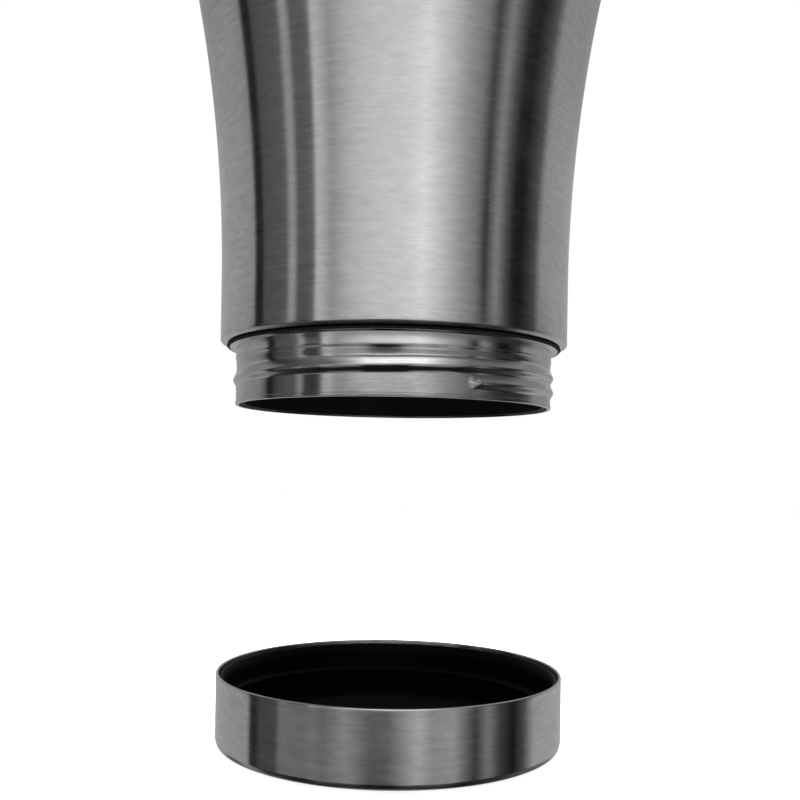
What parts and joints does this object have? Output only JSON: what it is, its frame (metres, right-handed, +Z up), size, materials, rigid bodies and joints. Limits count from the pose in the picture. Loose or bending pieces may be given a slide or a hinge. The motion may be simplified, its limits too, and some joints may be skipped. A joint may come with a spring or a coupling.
{
  "type": "water bottle diversion safe",
  "caption": "Brushed steel water bottle whose screw-off base cup closes a hidden storage compartment, with a screw lid, flip cap and carry loop.",
  "frame": {"origin": "centre of the underside of the base cup's rubber foot, on the surface it stands on", "axes": "+Z up along the bottle's axis, -Y towards the viewer, away from the flip cap's hinge, +X to the viewer's right, along the carry loop's pins"},
  "size_m": [0.0924, 0.0924, 0.2618],
  "materials": {
    "brushed_steel": "brushed round the axis",
    "rolled_steel": "fine satin, rolled",
    "satin_steel": "satin",
    "black_liner": "moulded, low sheen",
    "lid_plastic": "fine moulded grain",
    "grey_plastic": "smooth moulded",
    "black_rubber": "matte",
    "pale_silicone": "smooth silicone",
    "pale_foam": "open foam"
  },
  "bodies": {
    "base_cup": {"base_shell": "brushed_steel", "base_liner": "black_liner", "base_foot": "black_rubber"},
    "seal": {"neck_seal": "black_rubber"},
    "bottle": {"outer_shell": "brushed_steel", "base_neck": "rolled_steel", "stash_liner": "black_liner", "insulation_pad": "pale_foam", "inner_flask": "satin_steel", "mouth_neck": "rolled_steel"},
    "gasket": {"lid_gasket": "pale_silicone"},
    "lid": {"lid_shell": "lid_plastic", "lid_band": "brushed_steel", "lid_insert": "grey_plastic", "drinking_spout": "grey_plastic", "cap_pin": "satin_steel", "loop_pins": "satin_steel"},
    "cap": {"flip_cap": "lid_plastic", "cap_plate": "brushed_steel", "cap_seal": "pale_silicone"},
    "loop": {"carry_loop": "lid_plastic"}
  },
  "joints": [
    {"name": "bottle_lift", "type": "slide", "parent": "base_cup", "child": "seal", "axis": [0, 0, 1], "range_m": [-0.0685, 0]},
    {"name": "bottle_turn", "type": "hinge", "parent": "seal", "child": "bottle", "pos_m": [0, 0, 0], "axis": [0, 0, 1], "range_deg": [-360, 0]},
    {"name": "lid_rise", "type": "slide", "parent": "bottle", "child": "gasket", "axis": [0, 0, 1], "range_m": [0, 0.0135]},
    {"name": "lid_turn", "type": "hinge", "parent": "gasket", "child": "lid", "pos_m": [0, 0, 0], "axis": [0, 0, 1], "range_deg": [0, 540]},
    {"name": "cap_flip", "type": "hinge", "parent": "lid", "child": "cap", "pos_m": [0, 0.0205, 0.2532], "axis": [-1, 0, 0], "range_deg": [0, 120]},
    {"name": "loop_swing", "type": "hinge", "parent": "lid", "child": "loop", "pos_m": [0, 0, 0.2452], "axis": [1, 0, 0], "range_deg": [0, 180]}
  ],
  "couplings": [
    {"joint": "lid_rise", "follows": "lid_turn", "m_per_rad": 0.0014324}
  ]
}
